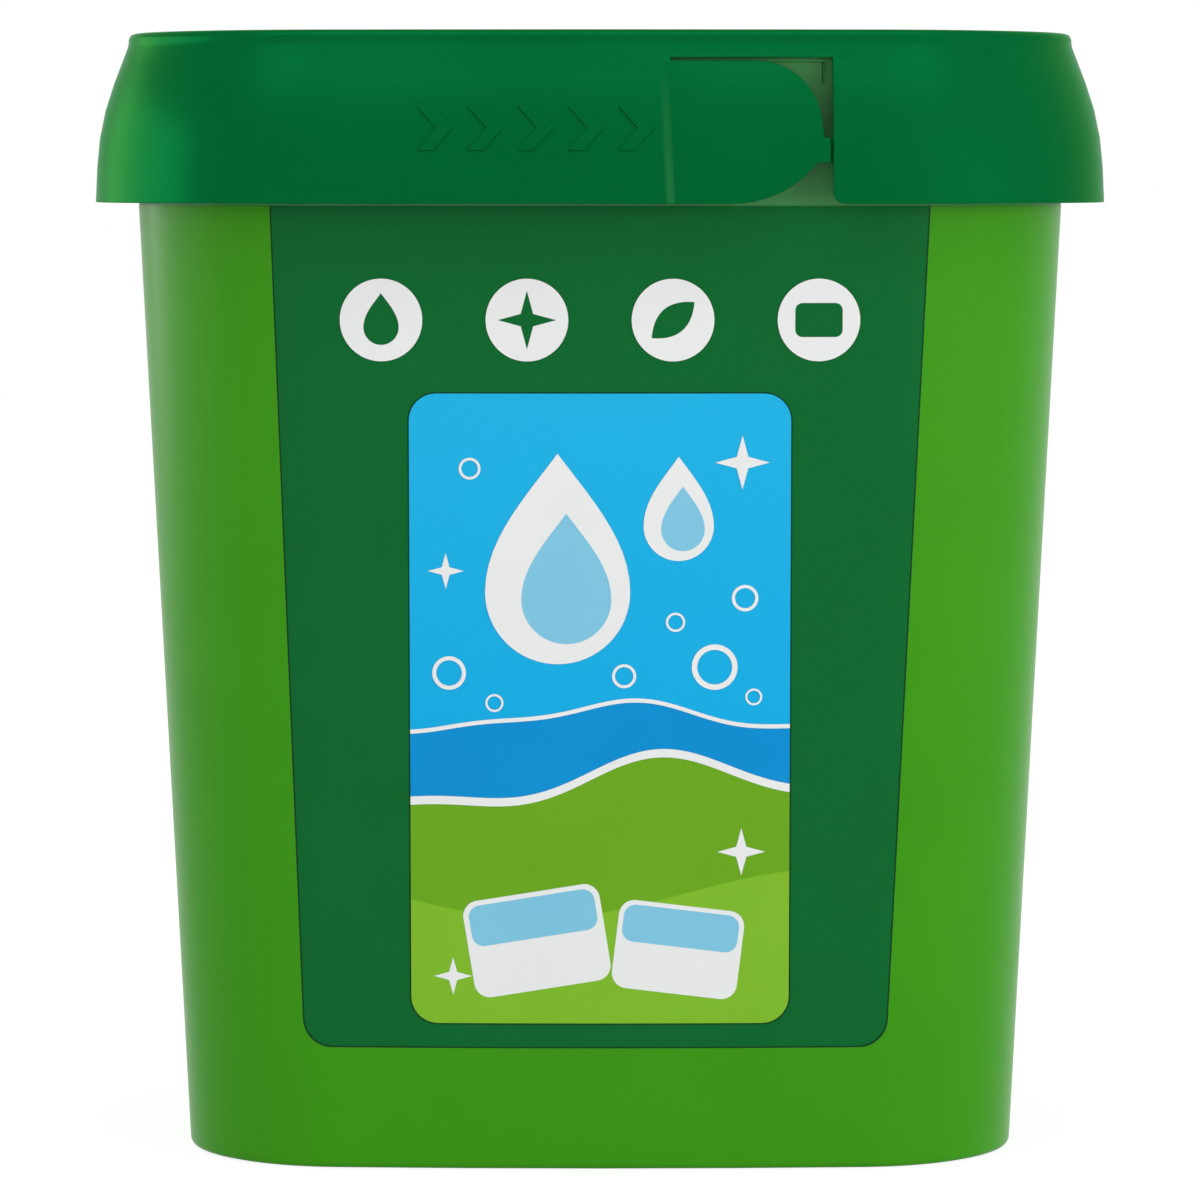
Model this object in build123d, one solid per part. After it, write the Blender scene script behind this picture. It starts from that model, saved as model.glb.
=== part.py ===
from build123d import *
import os
from math import atan2, ceil, cos, degrees, hypot, radians, sin, sqrt, tan

# A tall moulded tub that tapers to its base, with its label film moulded into its wall as one,
# a bell-shaped lid that presses over its rim, and the dishwasher tablets that it holds.
# Millimetres. The origin is the middle of the base and +Z is up. The wide faces look along -Y and +Y.

# Base outline: four bowed sides joined by round corners
base_width = 142.0
base_depth = 91.0
corner_radius = 27.5
face_bow_radius = 740.0
side_bow_radius = 300.0

# Tub
tub_height = 188.7
draft_angle = 2.83
wall = 1.5
floor_thickness = 1.8
foot_height = 2.0
foot_width = 3.0
foot_round = 1.2
bead_reach = 0.55
bead_height = 1.3
bead_drop = 2.7
notch_width = 0.7
notch_height = 3.6
notch_depth = 0.6
notch_inset = 1.3

# Lid
lid_height = 28.4
lid_wall = 1.3
lid_gap = 0.3
stack_depth = 3.4
plug_wall = 1.2
plug_reach = 3.8
ridge_height = 1.9
ridge_round = 1.0
brow_round = 3.0
shoulder_reach = 5.1
shoulder_drop = 15.1
shoulder_round = 45.0
hem_reach = 5.75
snap_height = 2.2
snap_crest_drop = 0.73

# Tear tab in each wide face of the lid
tab_corner_gap = 5.0
tab_length = 26.5
tab_height = 23.3
slot_height = 0.5
thumb_round = 10.7
thumb_lean = 1.9
lower_round = 17.1
lower_run = 5.95
bridge_rise = 6.7
bridge_height = 4.0
bridge_reach_top = 1.4
bridge_reach_bottom = 2.6
web_width = 0.45
web_thickness = 0.4
window_corner = 2.0
groove_left = 2.8
groove_right = 1.1
groove_depth = 0.45

# Tablets
tablet_layers = 8
tablet_rows = 2
tablet_slimness = 0.86
tablet_end_gap = 1.75
tablet_corner = 5.0
tablet_wall_gap = 0.5
tablet_gap_loose = 4.0
tablet_gap_tight = 0.5
tablet_gap_step = 0.5
headspace = 25.7

# The strip of floor or top plate that is revolved together with the wall beside it
plate_strip = 6.0
# Spare length of a cutter past the face that it cuts
overrun = 1.0
# Longest chord of a round in a swept profile, which has two chords or more
chord_length = 5.0

# Levels and offsets that follow from the sizes above. An offset is measured outwards from the base outline.
half_width = base_width / 2
half_depth = base_depth / 2
slope = tan(radians(draft_angle))
lid_top = tub_height + lid_wall
lid_bottom = lid_top - lid_height
neck_offset = slope * lid_bottom
floor_top = foot_height + floor_thickness
foot_inset = foot_round + foot_width
bead_top = tub_height - bead_drop
bead_bottom = bead_top - bead_height
ridge_inner = neck_offset + lid_gap
ridge_outer = ridge_inner + lid_wall
plug_outer = neck_offset - wall - lid_gap
plug_inner = plug_outer - plug_wall
plate_top = lid_top - stack_depth
plate_bottom = plate_top - lid_wall
plug_bottom = plate_bottom - plug_reach
tablet_height = (plug_bottom - headspace - floor_top) / tablet_layers
tablet_room = base_depth - 2 * (wall + tablet_end_gap)
tablet_length = (tablet_room + tablet_gap_tight) / tablet_rows - tablet_gap_tight
tablet_width = tablet_slimness * tablet_length


def corner_arc_centre():
    """Centre of the front right corner arc, which touches the front and right-hand arcs from inside."""
    front_centre = face_bow_radius - half_depth
    right_centre = half_width - side_bow_radius
    to_front = face_bow_radius - corner_radius
    to_right = side_bow_radius - corner_radius
    between = hypot(right_centre, front_centre)
    along = (to_front**2 - to_right**2 + between**2) / (2 * between)
    away = sqrt(to_front**2 - along**2)
    x = (right_centre * along + front_centre * away) / between
    y = front_centre + (right_centre * away - front_centre * along) / between
    return x, y


corner_x, corner_y = corner_arc_centre()
window_right = corner_x - tab_corner_gap
tab_left = window_right - tab_length
face_half_angle = degrees(atan2(corner_x, face_bow_radius - half_depth - corner_y))
side_half_angle = degrees(atan2(-corner_y, corner_x + side_bow_radius - half_width))
corner_angle = 90 - face_half_angle - side_half_angle

# Each arc of the outline, counter-clockwise: centre x and y, radius, first angle, angle turned
side_arc = (half_width - side_bow_radius, 0, side_bow_radius, -side_half_angle, 2 * side_half_angle)
corner_arc = (corner_x, -corner_y, corner_radius, side_half_angle, corner_angle)
back_arc = (0, half_depth - face_bow_radius, face_bow_radius, 90 - face_half_angle, 2 * face_half_angle)
next_corner_arc = (-corner_x, -corner_y, corner_radius, 90 + face_half_angle, corner_angle)
half_outline = [side_arc, corner_arc, back_arc, next_corner_arc]
front_arc = (-back_arc[0], -back_arc[1], back_arc[2], back_arc[3] + 180, back_arc[4])
outline = half_outline + [(-x, -y, radius, first + 180, turn) for x, y, radius, first, turn in half_outline]


def outline_face(offset, level):
    """Flat face bounded by the base outline grown by an offset, at one level."""
    arcs = [CenterArc((x, y), radius + offset, first, turn) for x, y, radius, first, turn in outline]
    return Pos(0, 0, level) * make_face(Curve() + arcs)


def ring(profile, arcs=outline):
    """Carries a profile, drawn as offset and level, round the outline: revolved about each arc's centre."""
    pieces = []
    for x, y, radius, first, turn in arcs:
        outwards = Vector(cos(radians(first)), sin(radians(first)), 0)
        along = outwards.cross(Vector(0, 0, 1))
        place = Plane(Vector(x, y, 0) + outwards * radius, x_dir=outwards, z_dir=along)
        pieces.append(revolve(place * profile, Axis((x, y, 0), (0, 0, 1)), turn))
    return pieces[0].fuse(*pieces[1:]) if len(pieces) > 1 else pieces[0]


def eased_corner(before, corner, after, round_):
    """The corner itself, or the chords of a round in its place, which keep a long swept edge light."""
    if round_ == 0:
        return [corner]
    to_before = (before - corner).normalized()
    to_after = (after - corner).normalized()
    half_angle = radians(to_before.get_angle(to_after)) / 2
    reach = round_ / tan(half_angle)
    middle = (to_before + to_after).normalized() * (round_ / sin(half_angle) - round_)
    arc = ThreePointArc(corner + to_before * reach, corner + middle, corner + to_after * reach)
    chords = max(2, ceil(arc.length / chord_length))
    return [arc @ (index / chords) for index in range(chords + 1)]


def rounded_profile(corners):
    """Closed profile from corners given as offset, level and round."""
    spots = [Vector(offset, level) for offset, level, _ in corners]
    rounds = [round_ for _, _, round_ in corners]
    points = []
    for before, corner, after, round_ in zip(spots[-1:] + spots, spots, spots[1:] + spots, rounds):
        points += eased_corner(before, corner, after, round_)
    return make_face(Polyline(*points, close=True))


def wall_offset(level):
    """Offset of the tub's drafted outer wall at one level."""
    return slope * level


def half_turn(shape):
    """The same shape on the opposite wide face."""
    return Rot(0, 0, 180) * shape


def make_tub():
    floor_end = -foot_inset - plate_strip
    profile = rounded_profile(
        [
            (floor_end, foot_height, 0),
            (-foot_inset, foot_height, 0),
            (-foot_inset, 0, 0),
            (0, 0, foot_round),
            (neck_offset, lid_bottom, 0),
            (neck_offset, bead_bottom, 0),
            (neck_offset + bead_reach, bead_bottom, 0),
            (neck_offset + bead_reach, bead_top - bead_reach, 0),
            (neck_offset, bead_top, 0),
            (neck_offset, tub_height, 0),
            (neck_offset - wall, tub_height, 0),
            (neck_offset - wall, lid_bottom, 0),
            (wall_offset(floor_top) - wall, floor_top, 0),
            (floor_end, floor_top, 0),
        ]
    )
    floor = extrude(outline_face(floor_end, foot_height), floor_thickness)
    tub = ring(profile) + floor
    for cutter in locating_notches():
        tub -= cutter
    return tub


def locating_notches():
    """A short upright notch below the rim bead, just inside the open end of each tear tab."""
    band = ring(
        rounded_profile(
            [
                (neck_offset - notch_depth, bead_bottom - notch_height, 0),
                (neck_offset + overrun, bead_bottom - notch_height, 0),
                (neck_offset + overrun, bead_bottom, 0),
                (neck_offset - notch_depth, bead_bottom, 0),
            ]
        ),
        [front_arc],
    )
    middle = window_right - notch_inset
    slab = Pos(middle, -half_depth, bead_bottom) * Box(notch_width, base_depth, 4 * notch_height)
    notch = band & slab
    return [notch, half_turn(notch)]


def skirt_line(inset):
    """Outer line of the lid's rim, shoulder and skirt, moved in by an inset, as offset and level."""
    outer = ridge_outer - inset
    return [
        (outer, lid_top - ridge_height),
        (outer + shoulder_reach, lid_top - shoulder_drop),
        (outer + hem_reach, lid_bottom),
    ]


def shoulder_ease():
    """How far the shoulder's round lies inside its corner."""
    upper_lean = atan2(shoulder_reach, shoulder_drop - ridge_height)
    lower_lean = atan2(hem_reach - shoulder_reach, lid_height - shoulder_drop)
    return shoulder_round * (1 / cos((upper_lean - lower_lean) / 2) - 1)


def make_lid():
    plate_end = plug_inner - plate_strip
    brow, shoulder, hem = skirt_line(0)
    inner_brow, inner_corner, inner_hem = skirt_line(lid_wall)
    inner_shoulder = (inner_corner[0] - shoulder_ease(), inner_corner[1])
    lean = (inner_shoulder[0] - inner_brow[0]) / (inner_brow[1] - inner_shoulder[1])
    snap_top = bead_bottom
    snap_tip = neck_offset + bead_reach + lid_gap

    def inner_slope(level):
        return inner_brow[0] + lean * (inner_brow[1] - level)

    profile = rounded_profile(
        [
            (plate_end, plate_top, 0),
            (plug_inner, plate_top, 0),
            (plug_inner, lid_top, 0),
            (ridge_outer, lid_top, ridge_round),
            (*brow, brow_round),
            (*shoulder, shoulder_round),
            (*hem, 0),
            (*inner_hem, 0),
            (*inner_shoulder, 0),
            (inner_slope(snap_top - snap_height), snap_top - snap_height, 0),
            (snap_tip, snap_top - snap_crest_drop, 0),
            (inner_slope(snap_top), snap_top, 0),
            (*inner_brow, 0),
            (ridge_inner, tub_height, 0),
            (plug_outer, tub_height, 0),
            (plug_outer, plug_bottom, 0),
            (plug_inner, plug_bottom, 0),
            (plug_inner, plate_bottom, 0),
            (plate_end, plate_bottom, 0),
        ]
    )
    plate = extrude(outline_face(plate_end, plate_bottom), lid_wall)
    lid = ring(profile) + plate
    for cutter in tear_tab_cutters():
        lid = lid - cutter - half_turn(cutter)
    return lid


def skirt_layer(depth):
    """Layer of the lid's front skirt, from just outside its surface to a depth under it."""
    outside = skirt_line(-overrun)
    inside = skirt_line(depth)
    rounds = [0, shoulder_round, 0]
    corners = [(*point, round_) for point, round_ in zip(outside, rounds)]
    corners += [(*point, round_) for point, round_ in zip(reversed(inside), rounds)]
    return ring(rounded_profile(corners), [front_arc])


def upright_slab(left, right, low, high):
    """Block in front of the tub between two places across the face and two heights above the lid's hem."""
    middle = Pos((left + right) / 2, -base_depth, lid_bottom + (low + high) / 2)
    return middle * Box(right - left, base_depth, high - low)


def tear_tab_cutters():
    """What is cut from the front skirt to free the tab: the gaps round it, its groove and thin bridge."""
    bridge_top = bridge_rise + bridge_height
    tab_outline = FilletPolyline(
        (tab_left, 0),
        (window_right - bridge_reach_bottom - lower_run, 0),
        (window_right - bridge_reach_bottom, bridge_rise),
        (window_right, bridge_rise),
        (window_right, bridge_top),
        (window_right - bridge_reach_top, bridge_top),
        (window_right - bridge_reach_top - thumb_lean, tab_height),
        (tab_left, tab_height),
        radius=[0, lower_round, 0, 0, 0, 0, thumb_round, 0],
        close=True,
    )
    window_outline = FilletPolyline(
        (tab_left, -overrun),
        (window_right + 2 * window_corner, -overrun),
        (window_right + 2 * window_corner, 0),
        (window_right, 0),
        (window_right, tab_height + slot_height),
        (tab_left, tab_height + slot_height),
        radius=[0, 0, 0, window_corner, 0, 0],
        close=True,
    )
    gaps = make_face(window_outline) - make_face(tab_outline)
    skirt_reach = half_depth + ridge_outer + hem_reach + overrun
    through = skirt_reach - half_depth - plug_outer - lid_gap
    gap_plane = Plane((0, -skirt_reach, lid_bottom), x_dir=(1, 0, 0), z_dir=(0, -1, 0))
    gap_cutter = extrude(gap_plane * gaps, -through)
    thinning = upright_slab(window_right - web_width, window_right, bridge_rise, bridge_top)
    web_cutter = skirt_layer(lid_wall - web_thickness) & thinning
    return [gap_cutter, groove_cutter(), web_cutter]


def front_face_y(x, offset):
    """Y of the front arc of the outline, grown by an offset, at one place across the face."""
    return face_bow_radius - half_depth - sqrt((face_bow_radius + offset) ** 2 - x**2)


def groove_cutter():
    """Shallow V that follows the front skirt from the tab's slot down past the hem."""
    left = tab_left - groove_left
    right = tab_left + groove_right
    brow, shoulder, hem = [Vector(*point) for point in skirt_line(0)]
    past_hem = hem + (hem - shoulder).normalized() * overrun
    sections = []
    for point in [brow, *eased_corner(brow, shoulder, hem, shoulder_round), past_hem]:
        corners = [
            (left, front_face_y(left, point.X)),
            (tab_left, front_face_y(tab_left, point.X) + groove_depth),
            (right, front_face_y(right, point.X)),
            (right, front_face_y(right, point.X) - overrun),
            (left, front_face_y(left, point.X) - overrun),
        ]
        sections.append(Pos(0, 0, point.Y) * make_face(Polyline(*corners, close=True)))
    return loft(sections, ruled=True) & upright_slab(left, right, -overrun, tab_height)


def make_tablet():
    """Pressed block that lies flat, with its upright corners cut back."""
    block = Pos(0, 0, tablet_height / 2) * Box(tablet_length, tablet_width, tablet_height)
    return chamfer(block.edges().filter_by(Axis.Z), tablet_corner)


def tablets_fit(columns, size_x, size_y, gap, level):
    """True if rows of tablets stay inside the tub's wall at one level, with room to lie a little turned."""
    swing = gap * size_x / tablet_length / 2
    reach_x = (columns * (size_x + gap) - gap + swing) / 2
    reach_y = (tablet_rows * (size_y + gap) - gap + swing) / 2
    room = corner_radius + wall_offset(level) - wall - tablet_wall_gap
    tips = [(reach_x, reach_y - tablet_corner), (reach_x - tablet_corner, reach_y)]
    return all(hypot(max(x - corner_x, 0), max(y + corner_y, 0)) <= room for x, y in tips)


def layer_grid(size_x, size_y, level):
    """Columns and gap of the fullest rows of tablets that fit at one level, laid as loosely as they can."""
    most = int(2 * base_width / size_x)
    counts = range(1, most)
    fitting = [count for count in counts if tablets_fit(count, size_x, size_y, tablet_gap_tight, level)]
    columns = max(fitting, default=1)
    gap = tablet_gap_loose
    while gap > tablet_gap_tight and not tablets_fit(columns, size_x, size_y, gap, level):
        gap -= tablet_gap_step
    return columns, gap


def make_tablet_layer(index):
    """Tablets that lie flat side by side, each turned a little, with every other layer laid crosswise."""
    level = floor_top + index * tablet_height
    crosswise = 90 * (index % 2)
    size_x = tablet_width if crosswise else tablet_length
    size_y = tablet_length if crosswise else tablet_width
    columns, gap = layer_grid(size_x, size_y, level)
    tablet = make_tablet()
    tablets = []
    for column in range(columns):
        for row in range(tablet_rows):
            x = (column - (columns - 1) / 2) * (size_x + gap)
            y = (row - (tablet_rows - 1) / 2) * (size_y + gap)
            uneven = sin(5 * index + 3 * column + 2 * row)
            turn = degrees(gap / tablet_length) * uneven
            tablets.append(Pos(x, y, level) * Rot(0, 0, crosswise + turn) * tablet)
    return Compound(children=tablets)


nodes = {"tub": make_tub(), "lid": make_lid()}
for index in range(tablet_layers):
    nodes[f"tablets_layer_{index + 1}"] = make_tablet_layer(index)
os.makedirs("parts", exist_ok=True)
for name, shape in nodes.items():
    export_step(shape, f"parts/{name}.step")
    print(f"{name}: {len(shape.solids())} solids, {shape.volume:.0f} mm3, valid {shape.is_valid}")
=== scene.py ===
import math

import bmesh
import bpy
from mathutils import Matrix, Vector
from mathutils.bvhtree import BVHTree


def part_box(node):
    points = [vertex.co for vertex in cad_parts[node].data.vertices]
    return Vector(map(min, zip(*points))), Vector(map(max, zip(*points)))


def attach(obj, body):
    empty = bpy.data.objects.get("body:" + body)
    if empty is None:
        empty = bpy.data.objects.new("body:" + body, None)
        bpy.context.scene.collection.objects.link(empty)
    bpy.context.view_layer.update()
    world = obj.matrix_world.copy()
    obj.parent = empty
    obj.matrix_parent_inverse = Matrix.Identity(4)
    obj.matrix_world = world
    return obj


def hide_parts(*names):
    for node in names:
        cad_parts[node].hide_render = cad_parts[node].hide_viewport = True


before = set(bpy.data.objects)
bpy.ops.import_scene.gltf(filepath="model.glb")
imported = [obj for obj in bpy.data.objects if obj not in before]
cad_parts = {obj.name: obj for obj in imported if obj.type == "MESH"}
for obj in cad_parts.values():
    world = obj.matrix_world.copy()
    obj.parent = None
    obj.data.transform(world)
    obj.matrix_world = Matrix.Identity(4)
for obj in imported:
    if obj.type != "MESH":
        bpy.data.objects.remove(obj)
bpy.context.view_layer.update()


# The tub is one injection moulding in mid-green polypropylene, drafted from its foot ring up to a straight
# neck with a rim bead. Its skin comes satin from the mould, with a fine grain and faint clouding. A low
# ring in the middle of its base shows where the plastic entered.
merge_distance = 0.000005
flat_angle = math.radians(0.4)
crease_angle = math.radians(50)
edge_segments = 2
tub_edge_round = 0.00018
tub_base_level = 0.0020
gate_radius = 0.0042
gate_rim = 0.0011
gate_rise = 0.0003
gate_dish = 0.0001
gate_sink = 0.0002
gate_nub = 0.0009
gate_steps = 48
tub_green = (0.068, 0.300, 0.088, 1)
tub_green_clouded = (0.062, 0.276, 0.080, 1)
tub_specular = 0.2
tub_roughness = (0.36, 0.44)
clouding_scale = 38.0
grain_scale = 2600.0
grain_detail = 2.0
grain_depth = 0.00004
grain_strength = 0.3


def piece_from(bm, piece_name):
    """Object at the origin that holds the finished mesh."""
    mesh = bpy.data.meshes.new(piece_name)
    bm.to_mesh(mesh)
    bm.free()
    if "custom_normal" in mesh.attributes:
        mesh.attributes.remove(mesh.attributes["custom_normal"])
    piece = bpy.data.objects.new(piece_name, mesh)
    bpy.context.scene.collection.objects.link(piece)
    return piece


def shade_between_creases(bm, crease):
    """Smooth shading that breaks at each edge sharper than the crease angle."""
    for face in bm.faces:
        face.smooth = True
    for edge in bm.edges:
        edge.smooth = edge.calc_face_angle(math.pi) < crease


def merged_node(node, crease=crease_angle):
    """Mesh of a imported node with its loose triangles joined, shaded smooth between its creases."""
    bm = bmesh.new()
    bm.from_mesh(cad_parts[node].data)
    bmesh.ops.remove_doubles(bm, verts=bm.verts, dist=merge_distance)
    bmesh.ops.dissolve_limit(bm, angle_limit=flat_angle, verts=bm.verts, edges=bm.edges)
    shade_between_creases(bm, crease)
    return bm


def soften_edges(piece, width, segments=edge_segments, crease=crease_angle):
    """Small round on every crease, as a mould leaves it."""
    bevel = piece.modifiers.new("mould round", "BEVEL")
    bevel.limit_method = "ANGLE"
    bevel.angle_limit = crease
    bevel.width = width
    bevel.segments = segments
    bevel.profile = 0.5
    bevel.material = -1
    bevel.use_clamp_overlap = False


def gate_mark(mark_name, level, outward):
    """Low ring with a nub in it, in the middle of a flat face, where the plastic entered the mould."""
    profile = [
        (0, -gate_sink),
        (gate_radius, -gate_sink),
        (gate_radius - gate_rise, gate_rise),
        (gate_radius - gate_rim, gate_rise),
        (gate_radius - gate_rim - gate_rise, gate_dish),
        (gate_nub + gate_rise, gate_dish),
        (gate_nub, gate_rise),
        (0, gate_rise),
    ]
    bm = bmesh.new()
    verts = [bm.verts.new((radius, 0, level + outward * height)) for radius, height in profile]
    edges = [bm.edges.new(pair) for pair in zip(verts, verts[1:])]
    bmesh.ops.spin(
        bm,
        geom=verts + edges,
        cent=(0, 0, 0),
        axis=(0, 0, 1),
        angle=2 * math.pi,
        steps=gate_steps,
        use_merge=True,
    )
    bmesh.ops.remove_doubles(bm, verts=bm.verts, dist=merge_distance)
    bmesh.ops.recalc_face_normals(bm, faces=bm.faces)
    shade_between_creases(bm, crease_angle)
    return piece_from(bm, mark_name)


def start_material(name):
    """New material, with its node tree, its shader and the Object coordinates of its surface."""
    material = bpy.data.materials.new(name)
    material.use_nodes = True
    tree = material.node_tree
    place = tree.nodes.new("ShaderNodeTexCoord").outputs["Object"]
    return material, tree, tree.nodes["Principled BSDF"], place


def noise_of(tree, place, scale, detail=3.0):
    """Noise over the surface at a given scale."""
    noise = tree.nodes.new("ShaderNodeTexNoise")
    noise.inputs["Scale"].default_value = scale
    noise.inputs["Detail"].default_value = detail
    tree.links.new(place, noise.inputs["Vector"])
    return noise.outputs["Fac"]


def colour_between(tree, factor, first, second, low=0.3, high=0.7):
    """Colour that goes from the first at a low factor to the second at a high one."""
    ramp = tree.nodes.new("ShaderNodeValToRGB")
    ramp.color_ramp.elements[0].position = low
    ramp.color_ramp.elements[0].color = first
    ramp.color_ramp.elements[1].position = high
    ramp.color_ramp.elements[1].color = second
    tree.links.new(factor, ramp.inputs["Fac"])
    return ramp.outputs["Color"]


def value_between(tree, factor, first, second, low=0.3, high=0.7):
    """Value that goes from the first at a low factor to the second at a high one."""
    stretch = tree.nodes.new("ShaderNodeMapRange")
    stretch.inputs["From Min"].default_value = low
    stretch.inputs["From Max"].default_value = high
    stretch.inputs["To Min"].default_value = first
    stretch.inputs["To Max"].default_value = second
    tree.links.new(factor, stretch.inputs["Value"])
    return stretch.outputs["Result"]


def relief(tree, shader, factor, depth, strength):
    """Fine relief of the surface."""
    bump = tree.nodes.new("ShaderNodeBump")
    bump.inputs["Distance"].default_value = depth
    bump.inputs["Strength"].default_value = strength
    tree.links.new(factor, bump.inputs["Height"])
    tree.links.new(bump.outputs["Normal"], shader.inputs["Normal"])


def satin_polypropylene(name, colour, clouded, specular, roughness):
    """Moulded polypropylene: faint clouding, a satin sheen and a fine grain from the mould."""
    material, tree, shader, place = start_material(name)
    clouding = noise_of(tree, place, clouding_scale)
    grain = noise_of(tree, place, grain_scale, grain_detail)
    tree.links.new(colour_between(tree, clouding, clouded, colour), shader.inputs["Base Color"])
    tree.links.new(value_between(tree, clouding, *roughness), shader.inputs["Roughness"])
    shader.inputs["Specular IOR Level"].default_value = specular
    relief(tree, shader, grain, grain_depth, grain_strength)
    return material


tub = piece_from(merged_node("tub"), "tub_moulding")
soften_edges(tub, tub_edge_round)
tub_plastic = satin_polypropylene(
    "tub_green_satin", tub_green, tub_green_clouded, tub_specular, tub_roughness
)
tub.data.materials.append(tub_plastic)
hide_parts("tub")
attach(tub, "tub")

tub_gate = gate_mark("tub_gate_mark", tub_base_level, -1)
tub_gate.data.materials.append(tub_plastic)
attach(tub_gate, "tub")


# The label is one sheet of glossy printed film, laid in the mould and fused to the outside of the wall.
# It runs from the base round to just under the lid, and its two ends meet in a butt seam on the right side.
film_thickness = 0.00008
film_top = 0.1612
film_seam = 0.0004
foot_round = 0.0012
foot_first_turn = math.radians(-50)
foot_steps = 6
wall_draft = math.radians(2.83)
base_half_width = 0.0710
base_half_depth = 0.0455
corner_x = 0.042988
corner_y = 0.016702
face_bow_radius = 0.740
side_bow_radius = 0.300
corner_steps = 40
face_steps = 40
side_steps = 24
film_lime = (0.050, 0.318, 0.0080, 1)
film_lime_deep = (0.048, 0.308, 0.0075, 1)
film_specular = 0.075
film_roughness = (0.28, 0.34)
mottle_scale = 60.0
ripple_scale = 420.0
ripple_detail = 1.0
ripple_depth = 0.00003
ripple_strength = 0.1

side_centre = base_half_width - side_bow_radius
face_centre = base_half_depth - face_bow_radius
face_half_turn = math.atan2(corner_x, corner_y - face_centre)
side_half_turn = math.atan2(corner_y, corner_x - side_centre)
corner_turn = math.pi / 2 - face_half_turn - side_half_turn
seam_turn = film_seam / side_bow_radius


def film_edge(bm):
    """Upright edge of the film at its seam: part of the base round, then the drafted wall."""
    foot_centre = base_half_width - foot_round * math.tan(math.pi / 4 - wall_draft / 2)
    points = []
    for step in range(foot_steps + 1):
        turn = foot_first_turn - (foot_first_turn + wall_draft) * step / foot_steps
        x = foot_centre + foot_round * math.cos(turn)
        z = foot_round + foot_round * math.sin(turn)
        points.append((x, z))
    points.append((base_half_width + film_top * math.tan(wall_draft), film_top))
    verts = [bm.verts.new((x, 0, z)) for x, z in points]
    return verts + [bm.edges.new(pair) for pair in zip(verts, verts[1:])]


def carried_round(bm, edge, centre_x, centre_y, turn, steps):
    """The film's edge, carried round one arc of the wall."""
    centre = (centre_x, centre_y, 0)
    spun = bmesh.ops.spin(bm, geom=edge, cent=centre, axis=(0, 0, 1), angle=turn, steps=steps)
    return spun["geom_last"]


def thicken(piece, thickness, sunk=0.0):
    """Gives a sheet its real thickness, outwards from where it lies, with part of it sunk if so given."""
    wall = piece.modifiers.new("thickness", "SOLIDIFY")
    wall.thickness = thickness
    wall.offset = 1 - 2 * sunk / thickness


def glossy_film(name, colour, deep):
    """Printed film: even colour with a faint mottle, under a smooth gloss."""
    material, tree, shader, place = start_material(name)
    mottle = noise_of(tree, place, mottle_scale)
    ripple = noise_of(tree, place, ripple_scale, ripple_detail)
    tree.links.new(colour_between(tree, mottle, deep, colour), shader.inputs["Base Color"])
    tree.links.new(value_between(tree, mottle, *film_roughness), shader.inputs["Roughness"])
    shader.inputs["Specular IOR Level"].default_value = film_specular
    relief(tree, shader, ripple, ripple_depth, ripple_strength)
    return material


bm = bmesh.new()
edge = film_edge(bm)
edge = carried_round(bm, edge, side_centre, 0, side_half_turn, side_steps // 2)
edge = carried_round(bm, edge, corner_x, corner_y, corner_turn, corner_steps)
edge = carried_round(bm, edge, 0, face_centre, 2 * face_half_turn, face_steps)
edge = carried_round(bm, edge, -corner_x, corner_y, corner_turn, corner_steps)
edge = carried_round(bm, edge, -side_centre, 0, 2 * side_half_turn, side_steps)
edge = carried_round(bm, edge, -corner_x, -corner_y, corner_turn, corner_steps)
edge = carried_round(bm, edge, 0, -face_centre, 2 * face_half_turn, face_steps)
edge = carried_round(bm, edge, corner_x, -corner_y, corner_turn, corner_steps)
carried_round(bm, edge, side_centre, 0, side_half_turn - seam_turn, side_steps // 2)
bmesh.ops.recalc_face_normals(bm, faces=bm.faces)
for face in bm.faces:
    face.smooth = True
for line in bm.edges:
    line.smooth = not line.is_boundary
film_surface = BVHTree.FromBMesh(bm)
film = piece_from(bm, "label_film")
thicken(film, film_thickness)
film.data.materials.append(glossy_film("film_lime_gloss", film_lime, film_lime_deep))
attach(film, "tub")


# The panel is a field of dark green ink on the film, the same on the front and the back, with a thin
# darker line round it. It hangs from the lid and narrows with the tub. All inks are printed thin and flat,
# each on the one below.
ink_thickness = 0.000012
ink_step = 0.00002
strip_width = 0.002
strip_height = 0.012
panel_top = film_top - ink_step
panel_bottom = 0.0210
panel_half_top = 0.0541
panel_left_bottom = 0.0493
panel_right_bottom = 0.0477
panel_round = 0.0046
round_segments = 10
edge_line = 0.00026
line_ink = (0.0042, 0.0520, 0.0145, 1)
line_ink_deep = (0.0038, 0.0480, 0.0135, 1)
panel_ink = (0.0030, 0.140, 0.0290, 1)
panel_ink_deep = (0.0025, 0.132, 0.0265, 1)


def round_corners(bm, corners, radius):
    """Rounds some corners of a flat drawing."""
    bmesh.ops.bevel(
        bm,
        geom=corners,
        offset=radius,
        affect="VERTICES",
        segments=round_segments,
        profile=0.5,
        material=-1,
    )


def panel_shape(bm, grow):
    """The dark panel: sides that run with the tub's taper, and two round lower corners."""
    middle = (panel_top + panel_bottom - grow) / 2
    height = panel_top - panel_bottom + grow
    place = Matrix.Translation((0, middle, 0)) @ Matrix.Diagonal((1, height, 1, 1))
    corners = bmesh.ops.create_grid(bm, x_segments=1, y_segments=1, size=0.5, matrix=place)["verts"]
    lower = [vert for vert in corners if vert.co.y < middle]
    for vert in corners:
        half = panel_left_bottom if vert.co.x < 0 else panel_right_bottom
        half = half if vert in lower else panel_half_top
        vert.co.x = math.copysign(half + grow, vert.co.x)
    round_corners(bm, lower, panel_round)


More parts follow.
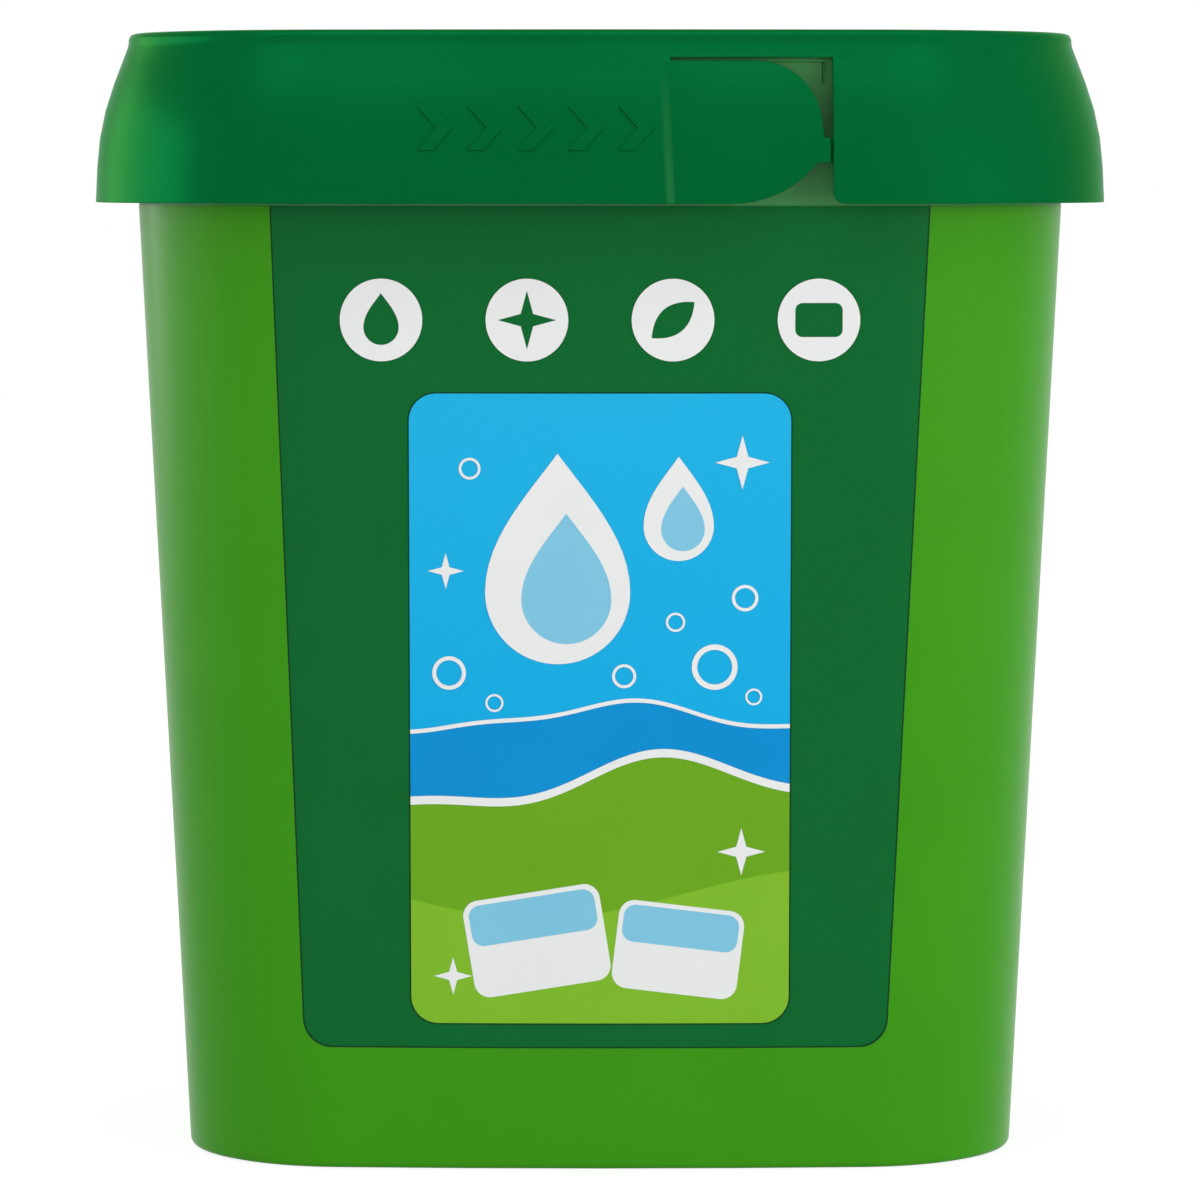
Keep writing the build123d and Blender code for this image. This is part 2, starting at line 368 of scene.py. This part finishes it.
def cut_along(bm, place, across):
    """Cuts a flat drawing along one line."""
    geometry = bm.verts[:] + bm.edges[:] + bm.faces[:]
    bmesh.ops.bisect_plane(bm, geom=geometry, dist=merge_distance, plane_co=place, plane_no=across)


def cut_into_strips(bm):
    """Cuts a flat drawing into strips, so that it can follow the curve of the wall."""
    columns = int(max(abs(vert.co.x) for vert in bm.verts) / strip_width)
    rows = int(max(vert.co.y for vert in bm.verts) / strip_height)
    for index in range(-columns, columns + 1):
        cut_along(bm, (index * strip_width, 0, 0), (1, 0, 0))
    for index in range(1, rows + 1):
        cut_along(bm, (0, index * strip_height, 0), (0, 1, 0))
    bmesh.ops.dissolve_degenerate(bm, dist=merge_distance, edges=bm.edges)


def lay_on_faces(bm, surface, lift):
    """Lays a flat drawing on the front of a surface and repeats it on the back."""
    in_front = -2 * base_half_depth
    bmesh.ops.rotate(bm, verts=bm.verts, cent=(0, 0, 0), matrix=Matrix.Rotation(math.pi / 2, 3, "X"))
    for vert in bm.verts:
        spot = surface.ray_cast(Vector((vert.co.x, in_front, vert.co.z)), Vector((0, 1, 0)))[0]
        vert.co.y = spot.y - lift
    copied = bmesh.ops.duplicate(bm, geom=bm.verts[:] + bm.edges[:] + bm.faces[:])["geom"]
    back = [item for item in copied if isinstance(item, bmesh.types.BMVert)]
    bmesh.ops.rotate(bm, verts=back, cent=(0, 0, 0), matrix=Matrix.Rotation(math.pi, 3, "Z"))


def print_on_film(bm, ink_name, material, layer):
    """Lays a drawing on the film as one thin ink."""
    cut_into_strips(bm)
    lay_on_faces(bm, film_surface, film_thickness + layer * ink_step)
    piece = piece_from(bm, ink_name)
    thicken(piece, ink_thickness)
    piece.data.materials.append(material)
    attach(piece, "tub")


bm = bmesh.new()
panel_shape(bm, edge_line)
print_on_film(bm, "print_panel_line", glossy_film("ink_line", line_ink, line_ink_deep), 1)

bm = bmesh.new()
panel_shape(bm, 0)
print_on_film(bm, "print_panel", glossy_film("ink_panel_green", panel_ink, panel_ink_deep), 2)


# The picture window is printed on the panel in five inks: a thin line round it, a sky that pales upwards,
# a band of water with a swell, a meadow with a wavy shore, and a low hill at its front.
window_half = 0.0315
window_bottom = 0.0250
window_top = 0.1304
window_round = 0.0045
wave_steps = 60
shore_line = (0.0660, [(0.0040, 2.4, 0.6), (0.0014, 5.3, 0.0)])
swell_line = (0.0770, [(0.0022, 3.1, math.pi / 2 - 0.4), (0.00066, 7.0, 0.0)])
hill_line = (0.0470, [(0.0042, 2.0, -0.9)])
meadow_level = 0.0580
hill_base = 0.0390
sky_ink_top = (0.016, 0.470, 0.820, 1)
sky_ink_low = (0.006, 0.430, 0.810, 1)
water_ink = (0.004, 0.300, 0.690, 1)
water_ink_deep = (0.003, 0.280, 0.665, 1)
meadow_ink = (0.162, 0.415, 0.0160, 1)
meadow_ink_deep = (0.152, 0.398, 0.0140, 1)
hill_ink = (0.235, 0.520, 0.0300, 1)
hill_ink_deep = (0.222, 0.500, 0.0270, 1)

window_middle = (window_top + window_bottom) / 2
window_height = window_top - window_bottom


def rounded_block(bm, x, z, width, height, radius, turn=0.0, round_top=True):
    """Flat block with round corners, or round lower ones alone, drawn as seen from the front."""
    place = Matrix.Translation((x, z, 0)) @ Matrix.Rotation(turn, 4, "Z")
    place = place @ Matrix.Diagonal((width, height, 1, 1))
    block = bmesh.ops.create_grid(bm, x_segments=1, y_segments=1, size=0.5, matrix=place)["verts"]
    from_below = sorted(block, key=lambda vert: vert.co.y)
    round_corners(bm, from_below if round_top else from_below[:2], radius)


def line_at(line, x):
    """Height of a wavy line: a level, and waves with a height, a turn over half the window and a start."""
    level, waves = line
    return level + sum(height * math.sin(turn * x / window_half + start) for height, turn, start in waves)


def wave_band(bm, lower, upper):
    """Band between two wavy lines that run across the window."""
    for vert in bmesh.ops.create_grid(bm, x_segments=wave_steps, y_segments=1, size=1.0)["verts"]:
        line = upper if vert.co.y > 0 else lower
        vert.co.x *= window_half
        vert.co.y = line_at(line, vert.co.x)


def rounded_ground(bm, level, line):
    """Ground with round lower corners: a block whose upper edge, at a level, is drawn to a wavy line."""
    height = level - window_bottom
    middle = window_bottom + height / 2
    rounded_block(bm, 0, middle, 2 * window_half, height, window_round, round_top=False)
    for index in range(1, wave_steps):
        cut_along(bm, ((2 * index / wave_steps - 1) * window_half, 0, 0), (1, 0, 0))
    for vert in bm.verts:
        if vert.co.y > level - merge_distance:
            vert.co.y = line_at(line, vert.co.x)


def sky_film(name):
    """Blue ink that pales from the shore to the top of the window."""
    material, tree, shader, place = start_material(name)
    split = tree.nodes.new("ShaderNodeSeparateXYZ")
    tree.links.new(place, split.inputs["Vector"])
    height = value_between(tree, split.outputs["Z"], 0, 1, shore_line[0], window_top)
    colour = colour_between(tree, height, sky_ink_low, sky_ink_top, 0.0, 1.0)
    tree.links.new(colour, shader.inputs["Base Color"])
    mottle = noise_of(tree, place, mottle_scale)
    tree.links.new(value_between(tree, mottle, *film_roughness), shader.inputs["Roughness"])
    shader.inputs["Specular IOR Level"].default_value = film_specular
    return material


bm = bmesh.new()
line_size = (2 * (window_half + edge_line), window_height + 2 * edge_line)
rounded_block(bm, 0, window_middle, *line_size, window_round + edge_line)
print_on_film(bm, "print_window_line", glossy_film("ink_window_line", line_ink, line_ink_deep), 3)

bm = bmesh.new()
rounded_block(bm, 0, window_middle, 2 * window_half, window_height, window_round)
print_on_film(bm, "print_sky", sky_film("ink_sky_blue"), 4)

bm = bmesh.new()
wave_band(bm, (meadow_level, []), swell_line)
print_on_film(bm, "print_water", glossy_film("ink_water_blue", water_ink, water_ink_deep), 5)

bm = bmesh.new()
rounded_ground(bm, meadow_level, shore_line)
print_on_film(bm, "print_meadow", glossy_film("ink_meadow_green", meadow_ink, meadow_ink_deep), 6)

bm = bmesh.new()
rounded_ground(bm, hill_base, hill_line)
print_on_film(bm, "print_hill", glossy_film("ink_hill_green", hill_ink, hill_ink_deep), 7)


# White ink gives the foam on the water, the bubbles, glints and drops over it, two tablets on the meadow,
# and a row of discs for the care signs. Pale blue ink over it shades the drops and caps the tablets.
foam_width = 0.0014
bubble_line = 0.24
bubbles = [
    (0.0190, 0.0850, 0.0038),
    (0.0240, 0.0965, 0.0022),
    (0.0125, 0.0925, 0.0016),
    (-0.0250, 0.0840, 0.0028),
    (-0.0215, 0.1180, 0.0018),
    (0.0040, 0.0835, 0.0020),
    (0.0255, 0.0800, 0.0014),
    (-0.0175, 0.0790, 0.0015),
]
glint_corners = 8
glint_waist = 0.3
glints = [
    (0.0235, 0.1190, 0.0045),
    (-0.0255, 0.1010, 0.0030),
    (0.0235, 0.0540, 0.0040),
    (-0.0245, 0.0330, 0.0032),
]
drop_slimness = 0.3
drops = [
    (-0.0070, 0.0975, 0.0120, 0.0230),
    (0.0130, 0.1085, 0.0058, 0.0115),
]
shade_size = 0.62
shade_aside = 0.12
shade_down = 0.1
tablet_drawn_round = 0.0026
tablets_drawn = [
    (-0.0105, 0.0390, 0.0230, 0.0165, 0.16),
    (0.0130, 0.0375, 0.0210, 0.0150, -0.12),
]
cap_lift = 0.24
cap_width = 0.92
cap_height = 0.42
cap_round = 0.0020
sign_count = 4
sign_level = 0.1425
sign_radius = 0.0068
sign_spacing = 0.0240
disc_segments = 64
white_ink = (0.880, 0.890, 0.880, 1)
white_ink_deep = (0.850, 0.865, 0.860, 1)
pale_ink = (0.240, 0.600, 0.800, 1)
pale_ink_deep = (0.220, 0.575, 0.780, 1)

sign_places = [(index - (sign_count - 1) / 2) * sign_spacing for index in range(sign_count)]


def disc(bm, x, z, radius, corners=disc_segments):
    """Round spot."""
    place = Matrix.Translation((x, z, 0))
    spot = bmesh.ops.create_circle(bm, cap_ends=True, radius=radius, segments=corners, matrix=place)
    return spot["verts"]


def ring_spot(bm, x, z, radius, width):
    """Round outline."""
    inner = disc(bm, x, z, radius)[0].link_faces[0]
    bmesh.ops.inset_individual(bm, faces=[inner], thickness=width)
    bmesh.ops.delete(bm, geom=[inner], context="FACES")


def sparkle(bm, x, z, radius):
    """Four-pointed glint."""
    middle = Vector((x, z, 0))
    for vert in disc(bm, x, z, radius, glint_corners)[1::2]:
        vert.co = middle + (vert.co - middle) * glint_waist


def drop(bm, x, z, radius, tip):
    """Water drop: a round belly that runs up to a point."""
    for vert in disc(bm, 0, 0, radius):
        rise = min(max(vert.co.y / radius, 0), 1)
        vert.co.x *= math.sqrt(1 - rise**2) * (1 - drop_slimness * rise**2)
        if rise > 0:
            vert.co.y = rise * tip
        vert.co += Vector((x, z, 0))


def under(line, depth):
    """Wavy line that runs a little below another."""
    level, waves = line
    return level - depth, waves


bm = bmesh.new()
wave_band(bm, under(shore_line, foam_width), shore_line)
wave_band(bm, under(swell_line, foam_width / 2), swell_line)
for x, z, radius in bubbles:
    ring_spot(bm, x, z, radius, radius * bubble_line)
for x, z, radius in glints:
    sparkle(bm, x, z, radius)
for x, z, radius, tip in drops:
    drop(bm, x, z, radius, tip)
for x, z, width, height, turn in tablets_drawn:
    rounded_block(bm, x, z, width, height, tablet_drawn_round, turn)
for x in sign_places:
    disc(bm, x, sign_level, sign_radius)
print_on_film(bm, "print_white", glossy_film("ink_white", white_ink, white_ink_deep), 8)

bm = bmesh.new()
for x, z, radius, tip in drops:
    shade_x = x + radius * shade_aside
    shade_z = z - radius * shade_down
    drop(bm, shade_x, shade_z, radius * shade_size, tip * shade_size)
for x, z, width, height, turn in tablets_drawn:
    cap_x = x - height * cap_lift * math.sin(turn)
    cap_z = z + height * cap_lift * math.cos(turn)
    rounded_block(bm, cap_x, cap_z, width * cap_width, height * cap_height, cap_round, turn)
print_on_film(bm, "print_pale_blue", glossy_film("ink_pale_blue", pale_ink, pale_ink_deep), 9)


# The care signs are printed last, in the panel's dark green ink, one on each white disc: a drop, a glint,
# a leaf and a tablet, all plain shapes.
sign_drop_radius = 0.0029
sign_drop_tip = 0.0056
sign_drop_down = 0.0012
sign_glint_radius = 0.0048
sign_leaf_length = 0.0092
sign_leaf_width = 0.0046
sign_leaf_turn = 0.7
sign_tablet_width = 0.0078
sign_tablet_height = 0.0056
sign_tablet_round = 0.0012


def leaf(bm, x, z, length, width, turn):
    """Pointed leaf."""
    place = Matrix.Translation((x, z, 0)) @ Matrix.Rotation(turn, 4, "Z")
    for vert in disc(bm, 0, 0, 1.0):
        along = vert.co.x
        across = vert.co.y * math.sqrt(max(1 - along**2, 0))
        vert.co = place @ Vector((along * length / 2, across * width / 2, 0))


bm = bmesh.new()
drop_place, glint_place, leaf_place, tablet_place = sign_places
drop(bm, drop_place, sign_level - sign_drop_down, sign_drop_radius, sign_drop_tip)
sparkle(bm, glint_place, sign_level, sign_glint_radius)
leaf(bm, leaf_place, sign_level, sign_leaf_length, sign_leaf_width, sign_leaf_turn)
rounded_block(bm, tablet_place, sign_level, sign_tablet_width, sign_tablet_height, sign_tablet_round)
print_on_film(bm, "print_signs", glossy_film("ink_sign_green", panel_ink, panel_ink_deep), 9)


# The tablets lie in layers in the tub. Each is a block of pressed powder, white with blue grains in its
# lower part and blue with pale grains in its upper part, sealed in a pouch of thin clear film.
tablet_crease = math.radians(30)
tablet_edge_round = 0.0014
tablet_edge_segments = 4
tablet_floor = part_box("tablets_layer_1")[0].z
tablet_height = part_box("tablets_layer_1")[1].z - tablet_floor
tablet_split = 0.56
powder_white = (0.80, 0.82, 0.82, 1)
grain_blue = (0.10, 0.32, 0.66, 1)
white_grain_scale = 1900.0
white_grain_share = 0.14
powder_blue = (0.045, 0.250, 0.600, 1)
grain_white = (0.55, 0.70, 0.86, 1)
blue_grain_scale = 2100.0
blue_grain_share = 0.18
powder_scale = 1400.0
powder_roughness = (0.55, 0.75)
powder_depth = 0.00015
powder_strength = 0.5
pouch_weight = 0.6
pouch_roughness = 0.12


def calculated(tree, operation, first, second=0.0):
    """Result of a calculation on a socket and a number or second socket."""
    node = tree.nodes.new("ShaderNodeMath")
    node.operation = operation
    tree.links.new(first, node.inputs[0])
    if isinstance(second, float):
        node.inputs[1].default_value = second
    else:
        tree.links.new(second, node.inputs[1])
    return node.outputs["Value"]


def grains_of(tree, place, scale, share):
    """1 on scattered grains of powder, else 0."""
    cells = tree.nodes.new("ShaderNodeTexVoronoi")
    cells.inputs["Scale"].default_value = scale
    tree.links.new(place, cells.inputs["Vector"])
    split = tree.nodes.new("ShaderNodeSeparateColor")
    tree.links.new(cells.outputs["Color"], split.inputs["Color"])
    return calculated(tree, "LESS_THAN", split.outputs["Red"], share)


def mixed_colour(tree, factor, first, second):
    """First colour where the factor is 0, second where it is 1. Each is a colour or a socket."""
    mix = tree.nodes.new("ShaderNodeMix")
    mix.data_type = "RGBA"
    tree.links.new(factor, mix.inputs["Factor"])
    for name, colour in (("A", first), ("B", second)):
        socket = [item for item in mix.inputs if item.name == name and item.type == "RGBA"][0]
        if isinstance(colour, tuple):
            socket.default_value = colour
        else:
            tree.links.new(colour, socket)
    return [item for item in mix.outputs if item.type == "RGBA"][0]


def pressed_powder(name):
    """Two-colour pressed powder with grains, under a clear film."""
    material, tree, shader, place = start_material(name)
    split = tree.nodes.new("ShaderNodeSeparateXYZ")
    tree.links.new(place, split.inputs["Vector"])
    height = calculated(tree, "SUBTRACT", split.outputs["Z"], tablet_floor)
    layer_share = calculated(tree, "FRACT", calculated(tree, "DIVIDE", height, tablet_height))
    upper = calculated(tree, "GREATER_THAN", layer_share, tablet_split)
    white_grains = grains_of(tree, place, white_grain_scale, white_grain_share)
    blue_grains = grains_of(tree, place, blue_grain_scale, blue_grain_share)
    white = mixed_colour(tree, white_grains, powder_white, grain_blue)
    blue = mixed_colour(tree, blue_grains, powder_blue, grain_white)
    tree.links.new(mixed_colour(tree, upper, white, blue), shader.inputs["Base Color"])
    packed = noise_of(tree, place, powder_scale)
    tree.links.new(value_between(tree, packed, *powder_roughness), shader.inputs["Roughness"])
    shader.inputs["Coat Weight"].default_value = pouch_weight
    shader.inputs["Coat Roughness"].default_value = pouch_roughness
    relief(tree, shader, packed, powder_depth, powder_strength)
    return material


tablet_powder = pressed_powder("tablet_powder")
for node in sorted(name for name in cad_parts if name.startswith("tablets_layer")):
    layer = piece_from(merged_node(node, tablet_crease), node.replace("tablets", "tablet_blocks"))
    soften_edges(layer, tablet_edge_round, tablet_edge_segments, tablet_crease)
    layer.data.materials.append(tablet_powder)
    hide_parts(node)
    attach(layer, "tub")


# The lid is one injection moulding in dark green, slightly pearly polypropylene that presses over the rim:
# a raised ridge, a sloped shoulder and a skirt. A tear tab is cut into each wide face and held by a thin
# bridge, and the wall is thinned by a groove where the tab tears. A paler green is painted along that
# groove as a painted highlight, where its flank would catch the light, fading out upwards.
lid_edge_round = 0.00016
lid_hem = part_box("lid")[0].z
lid_plate_level = 0.1866
groove_place = 0.011488
groove_top = 0.1849
tear_place = 0.0115
tear_lean = 0.05
tear_half_width = 0.0003
tear_fade = 0.0006
tear_full = 0.0040
tear_top = 0.0222
lid_green = (0.0010, 0.130, 0.0310, 1)
lid_green_clouded = (0.0009, 0.124, 0.0295, 1)
# Paler green of the painted highlight along each tear groove, where its flank would catch the light.
lid_green_painted_highlight = (0.0150, 0.170, 0.0480, 1)
lid_specular = 0.02
lid_roughness = (0.27, 0.33)
lid_pearl = 0.35
lid_pearl_tint = (0.12, 1.0, 0.30, 1)


def run_out_groove(bm, side):
    """Lets one tear groove run out: at its upper end, its deepest point comes up to the surface."""
    face = [vert for vert in bm.verts if vert.co.y * side > 0]
    end = []
    for vert in face:
        if math.hypot(vert.co.x + side * groove_place, vert.co.z - groove_top) < merge_distance:
            end.append(vert)
    surface, deep = sorted(end, key=lambda vert: -vert.co.y * side)[:2]
    deep.co = surface.co


def painted_tear_highlight(tree):
    """Mask of the painted highlight: 1 along the line where each tab tears off, to the right on each wide
    face, fading out upwards, else 0.
    """
    split = tree.nodes.new("ShaderNodeSeparateXYZ")
    tree.links.new(tree.nodes.new("ShaderNodeTexCoord").outputs["Object"], split.inputs["Vector"])
    facing = calculated(tree, "MULTIPLY", calculated(tree, "SIGN", split.outputs["Y"]), -1.0)
    across = calculated(tree, "MULTIPLY", split.outputs["X"], facing)
    rise = calculated(tree, "SUBTRACT", split.outputs["Z"], lid_hem)
    leaned = calculated(tree, "ADD", across, calculated(tree, "MULTIPLY", rise, tear_lean))
    beside = calculated(tree, "ABSOLUTE", calculated(tree, "SUBTRACT", leaned, tear_place))
    narrow = value_between(tree, beside, 1.0, 0.0, tear_half_width, tear_half_width + tear_fade)
    low = value_between(tree, rise, 1.0, 0.0, tear_full, tear_top)
    return calculated(tree, "MULTIPLY", narrow, low)


def pearly_polypropylene(name):
    """The lid's satin plastic: its highlights keep its own green, with a paler painted highlight along the
    tear lines.
    """
    material = satin_polypropylene(name, lid_green, lid_green_clouded, lid_specular, lid_roughness)
    tree = material.node_tree
    shader = tree.nodes["Principled BSDF"]
    shader.inputs["Metallic"].default_value = lid_pearl
    shader.inputs["Specular Tint"].default_value = lid_pearl_tint
    full = shader.inputs["Base Color"].links[0].from_socket
    # The painted highlight: paler green mixed into the base colour along the tear lines.
    tree.links.new(mixed_colour(tree, painted_tear_highlight(tree), full, lid_green_painted_highlight), shader.inputs["Base Color"])
    return material


bm = merged_node("lid")
for side in (-1, 1):
    run_out_groove(bm, side)
bmesh.ops.remove_doubles(bm, verts=bm.verts, dist=merge_distance)
lid_surface = BVHTree.FromBMesh(bm)
lid = piece_from(bm, "lid_moulding")
soften_edges(lid, lid_edge_round)
lid_plastic = pearly_polypropylene("lid_green_satin")
lid.data.materials.append(lid_plastic)
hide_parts("lid")
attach(lid, "lid")

lid_gate = gate_mark("lid_gate_mark", lid_plate_level, 1)
lid_gate.data.materials.append(lid_plastic)
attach(lid_gate, "lid")


# Raised arrow marks, moulded in one with the skirt, point along it to the tear tab. The same row stands on
# the back, by the other tab.
mark_count = 5
mark_first = -0.0285
mark_spacing = 0.0082
mark_level = 0.1738
mark_height = 0.0071
mark_bar = 0.0026
mark_point = 0.0032
mark_columns = 4
mark_rows = 10
mark_thickness = 0.0005
mark_sink = 0.00015
mark_round = 0.00012


def arrow_mark(bm, x):
    """Flat arrow: an upright bar that is bent to a point in the middle of its height."""
    place = Matrix.Translation((x, mark_level, 0)) @ Matrix.Diagonal((mark_bar, mark_height, 1, 1))
    bar = bmesh.ops.create_grid(
        bm, x_segments=mark_columns, y_segments=mark_rows, size=0.5, matrix=place
    )["verts"]
    for vert in bar:
        vert.co.x += mark_point * (1 - abs(vert.co.y - mark_level) / (mark_height / 2))


bm = bmesh.new()
for index in range(mark_count):
    arrow_mark(bm, mark_first + index * mark_spacing)
lay_on_faces(bm, lid_surface, 0)
marks = piece_from(bm, "lid_arrow_marks")
thicken(marks, mark_thickness, mark_sink)
soften_edges(marks, mark_round)
marks.data.materials.append(lid_plastic)
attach(marks, "lid")


# The floor is a plain pale sheet that the tub stands on. The camera and reflections see part of it as a
# white glow, so that it looks white, keeps the tub's shadow and throws no more light on the tub.
floor_size = 6.0
floor_white = (0.7, 0.7, 0.7, 1)
floor_roughness = 0.9
floor_specular = 0.1
floor_glow = 0.6
glow_strength = 1.39


def seen_directly(tree):
    """1 for rays from the camera, and for those mirrored or let through on their way, else 0."""
    path = tree.nodes.new("ShaderNodeLightPath")
    mirrored = calculated(tree, "MAXIMUM", path.outputs["Is Camera Ray"], path.outputs["Is Glossy Ray"])
    return calculated(tree, "MAXIMUM", mirrored, path.outputs["Is Transmission Ray"])


def mixed_surface(tree, share, first, second):
    """First shader where the share is 0, second where it is 1."""
    mix = tree.nodes.new("ShaderNodeMixShader")
    tree.links.new(share, mix.inputs["Fac"])
    tree.links.new(first, mix.inputs[1])
    tree.links.new(second, mix.inputs[2])
    return mix.outputs["Shader"]


bm = bmesh.new()
bmesh.ops.create_grid(bm, x_segments=1, y_segments=1, size=floor_size / 2)
floor = piece_from(bm, "floor")
pale_sheet, tree, shader = start_material("floor_white")[:3]
shader.inputs["Base Color"].default_value = floor_white
shader.inputs["Roughness"].default_value = floor_roughness
shader.inputs["Specular IOR Level"].default_value = floor_specular
glow = tree.nodes.new("ShaderNodeEmission")
glow.inputs["Strength"].default_value = glow_strength
share = calculated(tree, "MULTIPLY", seen_directly(tree), floor_glow)
surface = mixed_surface(tree, share, shader.outputs["BSDF"], glow.outputs["Emission"])
tree.links.new(surface, tree.nodes["Material Output"].inputs["Surface"])
floor.data.materials.append(pale_sheet)


# The room is a studio that is seen as plain white and gives a little more light from low down than from
# above. Its fill lights reach diffuse surfaces alone, and its gloss lights give the highlights alone.
white = (1, 1, 1, 1)
room_low_light = 0.80
room_high_light = 0.50
room_low = 0.1
room_high = 0.6
side_target = (0, 0, 0.2)
side_size = (1.2, 0.5)
rear_target = (0, 0, 0.31)
rear_size = (1.62, 0.62)

world = bpy.data.worlds.new("studio")
bpy.context.scene.world = world
world.use_nodes = True
tree = world.node_tree
room = tree.nodes["Background"]
room.inputs["Color"].default_value = white
split = tree.nodes.new("ShaderNodeSeparateXYZ")
tree.links.new(tree.nodes.new("ShaderNodeTexCoord").outputs["Generated"], split.inputs["Vector"])
room_light = value_between(tree, split.outputs["Z"], room_low_light, room_high_light, room_low, room_high)
tree.links.new(room_light, room.inputs["Strength"])
white_room = tree.nodes.new("ShaderNodeBackground")
white_room.inputs["Color"].default_value = white
surface = mixed_surface(
    tree, seen_directly(tree), room.outputs["Background"], white_room.outputs["Background"]
)
tree.links.new(surface, tree.nodes["World Output"].inputs["Surface"])


def softbox(name, place, target, size, power):
    """Rectangular area light that looks at a target."""
    light = bpy.data.lights.new(name, "AREA")
    light.shape = "RECTANGLE"
    light.size, light.size_y = size
    light.energy = power
    lamp = bpy.data.objects.new(name, light)
    lamp.location = place
    lamp.rotation_euler = (Vector(target) - Vector(place)).to_track_quat("-Z", "Y").to_euler()
    bpy.context.scene.collection.objects.link(lamp)
    return lamp


fill_lights = [
    softbox("left_fill", place=(-1.23, -0.86, 0.25), target=side_target, size=side_size, power=2.5),
    softbox("right_fill", place=(1.23, -0.86, 0.25), target=side_target, size=side_size, power=8.5),
    softbox("overhead_fill", place=(0, -0.3, 1.5), target=(0, 0, 0), size=(2.0, 1.6), power=9),
]
gloss_lights = [
    softbox("front_gloss", place=(0, -0.78, 1.29), target=(0, 0, 0.18), size=(2.0, 0.6), power=6),
    softbox("rear_left_gloss", place=(-1.346, 0.386, 0.31), target=rear_target, size=rear_size, power=7.9),
]
for lamp in fill_lights:
    lamp.visible_glossy = False
for lamp in gloss_lights:
    lamp.visible_diffuse = False


# The camera stands at the photo's view, about 0.95 m in front of the tub's middle, level with the lid's
# skirt and looking slightly down. Colours are shown as they are written.
camera_place = (0, -0.9483, 0.1679)
camera_pitch = math.radians(4.565)
camera_lens = 163.45
sensor_width = 36.0

camera = bpy.data.cameras.new("photo_view")
camera.lens = camera_lens
camera.sensor_width = sensor_width
camera_object = bpy.data.objects.new("photo_view", camera)
camera_object.location = camera_place
camera_object.rotation_euler = (math.pi / 2 - camera_pitch, 0, 0)
bpy.context.scene.collection.objects.link(camera_object)
bpy.context.scene.camera = camera_object
bpy.context.scene.view_settings.view_transform = "Standard"
